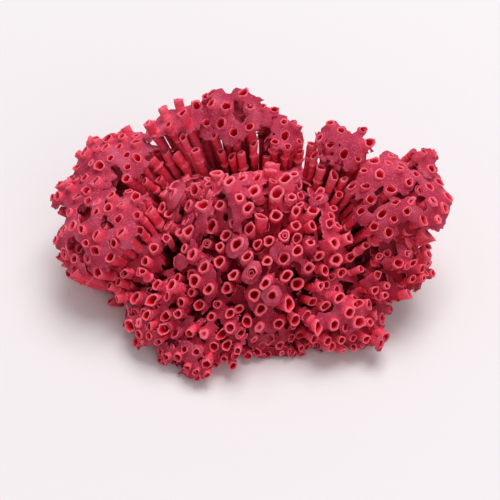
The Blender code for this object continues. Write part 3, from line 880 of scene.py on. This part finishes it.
def cutFaces(triangles, inside, points, *numbers):
    # what lies inside is kept, and a triangle that a floor's torn edge crosses is cut along it
    faces, cuts = [], {}
    for face in triangles:
        corners = []
        for i, j in zip(face, face[1:] + face[:1]):
            if inside[i] > 0:
                corners.append(i)
            if (inside[i] > 0) != (inside[j] > 0):
                edge = (min(i, j), max(i, j))
                if edge not in cuts:
                    share = inside[edge[0]] / (inside[edge[0]] - inside[edge[1]])
                    cuts[edge] = len(points)
                    points.append(points[edge[0]].lerp(points[edge[1]], min(0.97, max(0.03, share))))
                    for values in numbers:
                        values.append(values[edge[0]])
                corners.append(cuts[edge])
        if len(corners) > 2:
            faces.append(corners)
    return faces


def carriedFaces(faces, count, carriers):
    # a scrap that no pipe carries has fallen off
    group = list(range(count))

    def groupOf(i):
        while group[i] != i:
            group[i] = group[group[i]]
            i = group[i]
        return i

    for face in faces:
        for i in face[1:]:
            group[groupOf(i)] = groupOf(face[0])
    carried = {groupOf(i) for i in carriers}
    return [face for face in faces if groupOf(face[0]) in carried]


def floorMesh(lobe, net, offset, least, most, layer, ledge=0.0, span=2.6):
    # one floor at an offset from the cap, in millimetres: a net of points, drawn up at each pipe.
    # beside a pipe it runs on past the outline by the ledge, and it ends at its span from the pipes
    sizes = lobe.sizes
    crumbHeight, longest = floorSizes["crumbHeight"], floorSizes["longest"] * mm
    tearSize, tearDepth = floorSizes["tearSize"] * mm, floorSizes["tearDepth"]
    found = floorPoints(lobe, net, offset, least, most, layer)
    if len(found) < 4:
        return None
    result = delaunay_2d_cdt([item["spot"] / mm for item in found], [], [], 0, 1e-4)
    made = [found[sources[0]] for sources in result[3]]
    triangles = []
    for face in result[2]:
        a, b, c = (made[i] for i in face)
        if a["inmostOf"] is not None and a["inmostOf"] == b["inmostOf"] == c["inmostOf"]:
            continue
        if max((a["spot"] - b["spot"]).length, (b["spot"] - c["spot"]).length) > longest:
            continue
        triangles.append(face)
    points, inside, drawnUpAndPaintedLight, sunk = [], [], [], []
    for item in made:
        p, q = item["line"]
        spot, point = item["spot"], item["point"]
        if not point:
            crumb = noise.noise(Vector((spot.x, spot.y, lobe.seed * mm)) / crumbSize) * crumbHeight
            point = lobe.cap(p, q) + lobe.normal(p, q) * ((offset + crumb) * mm)
        points.append(Vector((point.x, point.y, max(point.z, groundGap + sizes["thickness"] * mm))))
        # how far inside the floor's own growth, its reach from the pipes and its torn edge
        tear = noise.noise(Vector((spot.x, spot.y, layer * mm)) / tearSize) * tearDepth * mm
        edge = (lobe.inward(p, q) + tear + max(0.0, ledge * mm - item["apart"])) / (2 * mm)
        inside.append(min(item["grown"] - least, most - item["grown"], span - item["apart"] / mm, edge))
        # the floor takes the pipes' colour where it is drawn up, and on some lobes it is painted brighter
        # towards its back as painted light
        paintedBackLight = sizes["paintedBackLight"] * min(1.0, max(0.0, 0.5 + q))
        drawnUpAndPaintedLight.append(max(min(1.0, max(0.0, item["lift"]) / sizes["fillet"]) ** 1.5, paintedBackLight))
        # painted shade: low floors, and those towards the front, are painted darker, where shade falls
        # between the pipes
        front = sizes["sunk"] * min(1.0, max(0.0, 0.3 - q))
        sunk.append(min(0.85, max(0.0, front - offset / 5)))
    faces = cutFaces(triangles, inside, points, drawnUpAndPaintedLight, sunk)
    carriers = [i for i, item in enumerate(made) if item["inmostOf"] is not None]
    faces = carriedFaces(faces, len(points), carriers)
    if not faces:
        return None
    floor = newMesh("floor", points, faces, floorMaterial)
    floor.data.materials.append(breakMaterial)
    storeNumbers(floor, "fillet", drawnUpAndPaintedLight)
    storeNumbers(floor, "sunk", sunk)
    floor.data.shade_smooth()
    solid = floor.modifiers.new("thickness", "SOLIDIFY")
    solid.thickness = sizes["thickness"] * mm
    solid.offset = -1.0
    solid.material_offset_rim = 1
    return frozen(floor)


def floorsOf(lobe):
    # the terraces overlap a little, and each floor further down has islands of its own
    noMost, overlap = 9.0, 0.14
    made = []
    most = noMost
    net = floorNet(lobe)
    for offset, least in lobe.sizes["terraces"]:
        made.append(floorMesh(lobe, net, offset, least, most, 0.0))
        most = least + overlap
    for offset, least in lobe.sizes["deepFloors"]:
        made.append(floorMesh(lobe, net, offset, least, noMost, -offset * 5, lobe.sizes["ledge"], span=1.3))
    return [item for item in made if item]


# the core's depth under the cap, the least height of its top, and the height of its flat base
coreSizes = dict(depth=4.6, topHeight=0.7, baseHeight=0.4, reach=0.97, rings=22, sides=80)


def coreMesh(lobe):
    # a closed body between the floors of the main mass, flat underneath, painted wholly dark with the sunk
    # colour as painted shade
    rings, sides = coreSizes["rings"], coreSizes["sides"]
    depth, baseHeight = coreSizes["depth"], coreSizes["baseHeight"] * mm
    points = [lobe.cap(0, 0) - lobe.n * depth * mm]
    faces = []
    for ring in range(1, rings + 1):
        for i in range(sides):
            angle = tau * i / sides
            p, q = math.cos(angle), math.sin(angle)
            reach = lobe.reach(p, q) * coreSizes["reach"] * ring / rings
            p, q = p * reach, q * reach
            point = lobe.cap(p, q) - lobe.normal(p, q) * depth * mm
            point.z = max(point.z, coreSizes["topHeight"] * mm)
            points.append(point)
    count = len(points)
    for i in range(sides):
        j = (i + 1) % sides
        faces.append((0, 1 + i, 1 + j))
        for ring in range(rings - 1):
            first = 1 + ring * sides
            faces.append((first + i, first + sides + i, first + sides + j, first + j))
        last = 1 + (rings - 1) * sides
        point = points[last + i]
        points.append(Vector((point.x, point.y, baseHeight)))
        faces.append((last + i, count + i, count + j, last + j))
    points.append(Vector((0, 0, baseHeight)))
    for i in range(sides):
        faces.append((count + i, count + sides, count + (i + 1) % sides))
    made = newMesh("core", points, faces, floorMaterial)
    # painted shade: the whole core takes the sunk colour
    storeNumbers(made, "sunk", [1.0] * len(points))
    made.data.shade_smooth()
    return made


def cutPipes(lobe, spacing=2.5, depth=3.0, tries=4000, seed=5):
    # the ends of the pipes in the flat cut underneath
    rng = random.Random(seed)
    pipes = []
    for _ in range(tries):
        p, q = rng.uniform(-1, 1), rng.uniform(-1, 1)
        mouth = lobe.sideways(p, q) + Vector((lobe.tip.x, lobe.tip.y, 0))
        mouth.z = cutHeight
        if lobe.inward(p, q) < 2 * mm:
            continue
        if any((mouth - other["mouth"]).length < spacing * mm for other in pipes):
            continue
        pipes.append(dict(mouth=mouth, axis=Vector((0, 0, -1)), side=Vector((1, 0, 0)),
                          girth=rng.uniform(0.8, 1.05) * mm, length=depth * mm, bend=straight,
                          turn=rng.uniform(0, tau), seed=rng.uniform(0, 30), tint=rng.random(), tilt=0.0,
                          squeeze=rng.uniform(0, 0.2), torn=0.0, hollow=0.9, bore=rng.uniform(0.6, 0.75),
                          taper=0.0, flare=0.0))
    return pipes


def makePiece(name, lobes):
    node = lobes[0].node
    parts = []
    for lobe in lobes:
        sizes = lobe.sizes
        floors = floorsOf(lobe)
        top = floors[0].data
        powder = newMesh("powder", [vertex.co for vertex in top.vertices],
                         [tuple(face.vertices) for face in top.polygons])
        powder = runTree(powder, powderGrains, {"Grains per square metre": sizes["powder"],
                                                "Grain radius": sizes["powderGrain"] * mm,
                                                "Seed": lobe.seed, "Material": powderMaterial})
        pipes = lobe.pipes + (cutPipes(lobe) if lobe is colony[0] else [])
        parts += floors + [powder]
        # each skin's unevenness, and how finely its rim is torn
        for label, items, skin, material, uneven, tornScale in (
                ("pipes", pipes, pipeSkin, pipeMaterial, sizes["uneven"], 1.6),
                ("collars", lobe.collars, collarSkin, floorMaterial, 0.3, 1.1),
                ("stemRings", lobe.stemRings, collarSkin, pipeMaterial, 0.5, 1.1)):
            parts.append(skinMesh(label, items, skin, material, uneven, tornScale))
    if lobes[0] is colony[0]:
        parts.append(coreMesh(lobes[0]))
    piece = joined(name, parts)
    for vertex in piece.data.vertices:
        vertex.co.z = max(vertex.co.z, cutHeight)      # cut off flat where it grew on the rock
    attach(piece, "root")
    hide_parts(node)
    cadLow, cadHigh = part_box(node)
    low = Vector(map(min, *[vertex.co for vertex in piece.data.vertices]))
    high = Vector(map(max, *[vertex.co for vertex in piece.data.vertices]))
    triangles = sum(len(face.vertices) - 2 for face in piece.data.polygons)
    print(name, sum(len(lobe.pipes) for lobe in lobes), "pipes", triangles, "triangles, past the box, mm:",
          [round((cadLow[i] - low[i]) / mm, 1) for i in range(3)],
          [round((high[i] - cadHigh[i]) / mm, 1) for i in range(3)])
    return piece


# what the low lobes round the foot have in common: broad broken steps, more worn and shaded
lowSteps = dict(
    terraces=[(0.0, 0.18), (-1.6, -0.35)], deepFloors=[(-4.0, 0.0)], waves=2, island=3.5, fillet=0.8,
    sunk=0.4, powder=0.1e6, stand=(0.6, 2.8), shortest=0.45, pipe=0.9, gap=0.2, sway=0.14,
    bore=(0.64, 0.8), broken=0.22, uneven=1.1, paintedLight=0.1, collar=0.04)

# each lobe's node, the root its lines fan out from, the tip of its cap, the way it looks, its half
# widths and how far its rim drops, then where it differs from the habit
mainMass = dict(
    node="main_mass", root=(1, 3, -12), tip=(1, -0.3, 22), facing=(0.03, -0.06, 1), half=(21.5, 17.9),
    drop=20.6, narrow=0.15, fullness=2.4, waves=5, reach=1.08, ragged=0.0, lowest=1.0,
    pipe=1.1, finer=0.2, gap=0.25, stubs=0.0, stand=(0.9, 3.6), shortest=0.5, drift=(-0.2, 0, 0.35),
    sway=0.13, bore=(0.54, 0.72), paintedLight=0.85, collar=0.04, terraces=[(0.6, 0.1), (-1.1, -0.2)],
    deepFloors=[(-2.9, -0.3)], island=4.5, tooth=0.05, fillet=0.9, paintedBackLight=0.55, sunk=0.45, powder=0.05e6)
frontFringe = dict(
    lowSteps, node="main_mass", branch=1, root=(2, -6, 0), tip=(2.8, -18.5, 3.9),
    facing=(0.05, -0.75, 0.65), half=(11.5, 3.8), drop=1.5, narrow=0.5, pipe=0.85, gap=0.02,
    stand=(0.3, 1.8), broken=0.4, uneven=1.4, paintedLight=-0.35, terraces=[(-0.4, 0.3), (-1.6, -0.1)],
    deepFloors=[(-3.0, -0.3)], sunk=0.8)
backLobe = dict(
    node="back_lobe", root=(0, 11, 4), tip=(-3.5, 13, 28), facing=(-0.1, -0.45, 0.9), half=(7, 5.8),
    drop=2, narrow=0.42, gap=0.65, paintedLight=0.8, stand=(0.1, 1.1), deepFloors=[(-6, -0.1)])
backFringe = dict(
    node="back_lobe", branch=1, root=(3, 11, 4), tip=(3.4, 13.6, 24.8), facing=(0.1, -0.3, 0.9),
    half=(3.4, 4.4), drop=1, narrow=0.45)
leftLobe = dict(
    node="left_lobe", root=(-9, -2, -6), tip=(-27.1, -3, 17.5), facing=(-0.45, -0.4, 0.8),
    half=(10, 8.6), drop=5, narrow=0.35, stand=(0.2, 1.2), sway=0.13,
    terraces=[(0.0, -0.12), (-1.9, -0.5)])
leftFringe = dict(
    node="left_lobe", branch=1, root=(-9, 3, -2), tip=(-28.7, 5.6, 18), facing=(-0.5, -0.1, 0.85),
    half=(6.8, 5), drop=1.5, narrow=0.35)
leftCleft = dict(
    lowSteps, node="left_lobe", branch=2, root=(-9, -4, -2), tip=(-18.5, -6, 14),
    facing=(-0.3, -0.45, 0.84), half=(5.5, 6), drop=1.5, narrow=0.4, pipe=0.85)
rightLobe = dict(
    node="right_lobe", root=(11, 1.5, 0), tip=(26, 1, 21.5), facing=(0.2, -0.3, 0.95), half=(9.8, 9),
    drop=3.5, narrow=0.3, pipe=0.92, stand=(0.05, 0.9), sunk=0.35)
rightFringe = dict(
    node="right_lobe", branch=1, root=(13, 3, 2), tip=(30.4, 7.4, 21.6), facing=(0.3, -0.2, 0.95),
    half=(3.2, 3.0), drop=0.6, narrow=0.4, stand=(0.4, 1.2), ragged=0.2)
upperLeftLobe = dict(
    node="upper_left_lobe", root=(-9, 8, 2), tip=(-25.2, 10.6, 20.6), facing=(-0.45, 0.05, 0.9),
    half=(8.7, 6.8), drop=3, narrow=0.3, pipe=0.8, reach=1.07)
rightBackLobe = dict(
    node="right_back_lobe", root=(11, 7.5, 4), tip=(16, 9, 24.6), facing=(0, -0.4, 0.9), half=(5.1, 5),
    drop=1.5, narrow=0.5, gap=0.9, paintedLight=1.0, deepFloors=[(-6, -0.1)])
backLeftLobe = dict(
    node="back_left_lobe", root=(-5, 10, 4), tip=(-12.8, 14.8, 25), half=(6.8, 4.6), drop=1, narrow=0.5,
    reach=1.08, stand=(0.8, 3.4), gap=1.2, paintedLight=1.0, deepFloors=[(-6.5, -0.1)])
backRightLobe = dict(
    node="back_right_lobe", root=(5.2, 11.5, 4), tip=(6.3, 13.5, 24), facing=(0.3, -0.1, 0.9),
    half=(4.1, 4.8), drop=1.5, narrow=0.4, pipe=0.8, gap=0.6, deepFloors=[(-6.5, -0.1)])
frontLeftLobe = dict(
    lowSteps, node="front_left_lobe", root=(-3, -8, 2), tip=(-9, -18.7, 6.8), facing=(-0.35, -0.55, 0.75),
    half=(9, 7.5), drop=2.5, narrow=0.35)
frontRightLobe = dict(
    lowSteps, node="front_right_lobe", root=(7, -5, 2), tip=(17.5, -14.3, 8.7), facing=(0.35, -0.5, 0.8),
    half=(9.4, 7.5), drop=2, narrow=0.35)
leftFrontLobe = dict(
    lowSteps, node="left_front_lobe", root=(-8, -6, 2), tip=(-17.3, -13.5, 9), facing=(-0.6, -0.4, 0.7),
    half=(7.5, 7.5), drop=2.5, narrow=0.35, pipe=0.95)
lowerRightLobe = dict(
    lowSteps, node="lower_right_lobe", root=(17, -3.8, -3), tip=(28, -5.8, 12.2), facing=(0.6, -0.3, 0.75),
    half=(7.4, 6), drop=1.5, narrow=0.35, lowest=7.5, pipe=0.8, stubs=0.0, paintedLight=-0.35, sunk=0.85,
    deepFloors=[(-3.2, -0.3), (-5.6, -0.2), (-8, -0.2)])
lowerRightFringe = dict(
    lowSteps, node="lower_right_lobe", branch=1, root=(14, -6, 1), tip=(23.5, -9.5, 10.5),
    facing=(0.4, -0.5, 0.77), half=(5.5, 4), drop=1, narrow=0.4, pipe=0.85, paintedLight=-0.35, sunk=0.85)
rearLeftLobe = dict(
    lowSteps, node="rear_left_lobe", root=(-6, 8, 2), tip=(-12, 18, 7.5), facing=(-0.3, 0.75, 0.6),
    half=(10, 7), drop=3, narrow=0.35)
rearRightLobe = dict(
    lowSteps, node="rear_right_lobe", root=(7, 8, 2), tip=(13, 17, 8), facing=(0.3, 0.75, 0.6),
    half=(10, 7), drop=3, narrow=0.35)

pieces = dict(
    mainMass=[mainMass, frontFringe], backLobe=[backLobe, backFringe],
    leftLobe=[leftLobe, leftFringe, leftCleft], rightLobe=[rightLobe, rightFringe],
    upperLeftLobe=[upperLeftLobe], rightBackLobe=[rightBackLobe], backLeftLobe=[backLeftLobe],
    backRightLobe=[backRightLobe], frontLeftLobe=[frontLeftLobe], frontRightLobe=[frontRightLobe],
    leftFrontLobe=[leftFrontLobe], lowerRightLobe=[lowerRightLobe, lowerRightFringe],
    rearLeftLobe=[rearLeftLobe], rearRightLobe=[rearRightLobe])
grownLobes = {name: [Lobe(sizes) for sizes in parts] for name, parts in pieces.items()}
colony.extend(lobe for lobes in grownLobes.values() for lobe in lobes)
for grow in (growCapPipes, growSidePipes, growStemRings):
    for lobe in colony:
        grow(lobe)
print("pipes grown:", sum(len(lobe.pipes) for lobe in colony))
for name, lobes in grownLobes.items():
    makePiece(name, lobes)
for skin in (pipeSkin, collarSkin):
    bpy.data.objects.remove(skin)

paperLook = dict(colour="#E7E2E4", fibreSize=2 * mm, relief=0.05 * mm, roughness=0.9, specular=0.1)
studio = dict(floorSize=0.5, world=0.4, backdrop=0.93,
              lamps=dict(key=dict(place=(0.2, 0.42, 1.2), size=0.8, power=13.3),
                         fill=dict(place=(0.25, -0.45, 0.45), size=0.5, power=0.8)))


def makeStudio():
    # matt paper under the coral
    material, tree, shader, place = newMaterial("palePaper", paperLook)
    fibre = addNode(tree, "ShaderNodeTexNoise", {"Vector": place, "Scale": 1 / paperLook["fibreSize"]})
    bump = addNode(tree, "ShaderNodeBump",
                   {"Strength": 0.1, "Distance": paperLook["relief"], "Height": fibre})
    tree.links.new(bump, shader.inputs["Normal"])
    shader.inputs["Base Color"].default_value = linearColour(paperLook["colour"])
    side = studio["floorSize"]
    floor = newMesh("studioFloor", [(-side, -side, 0), (side, -side, 0), (side, side, 0), (-side, side, 0)],
                    [(0, 1, 2, 3)], material)
    world = bpy.data.worlds.new("studioWorld")
    bpy.context.scene.world = world
    world.use_nodes = True
    background = world.node_tree.nodes["Background"]
    background.inputs["Color"].default_value = (1, 1, 1, 1)
    # past the floor's end the eye meets a pale backdrop, which gives the coral no more light
    seen = addNode(world.node_tree, "ShaderNodeLightPath", output="Is Camera Ray")
    strength = addNode(world.node_tree, "ShaderNodeMath",
                       {0: seen, 1: studio["backdrop"] - studio["world"], 2: studio["world"]},
                       operation="MULTIPLY_ADD")
    world.node_tree.links.new(strength, background.inputs["Strength"])
    for name, setup in studio["lamps"].items():
        lamp = bpy.data.lights.new(name, "AREA")
        lamp.size = setup["size"]
        lamp.energy = setup["power"]
        made = bpy.data.objects.new(name, lamp)
        made.location = setup["place"]
        made.rotation_euler = (-Vector(setup["place"])).to_track_quat("-Z", "Y").to_euler()
        bpy.context.scene.collection.objects.link(made)


cameraSetup = dict(elevation=48.0, distance=0.23, target=(0, 0, 0.013), sensor=36.0, width=0.085,
                   shift=-0.038)


def makeCamera():
    setup = cameraSetup
    data = bpy.data.cameras.new("camera")
    data.sensor_width = setup["sensor"]
    data.lens = setup["sensor"] * setup["distance"] / setup["width"]
    data.shift_y = setup["shift"]
    data.clip_start = 0.01
    lift = math.radians(setup["elevation"])
    camera = bpy.data.objects.new("camera", data)
    back = Vector((0, -math.cos(lift), math.sin(lift)))
    camera.location = Vector(setup["target"]) + back * setup["distance"]
    camera.rotation_euler = (-back).to_track_quat("-Z", "Y").to_euler()
    bpy.context.scene.collection.objects.link(camera)
    bpy.context.scene.camera = camera


makeStudio()
makeCamera()
bpy.context.scene.view_settings.view_transform = "Standard"
print("studio and camera made")
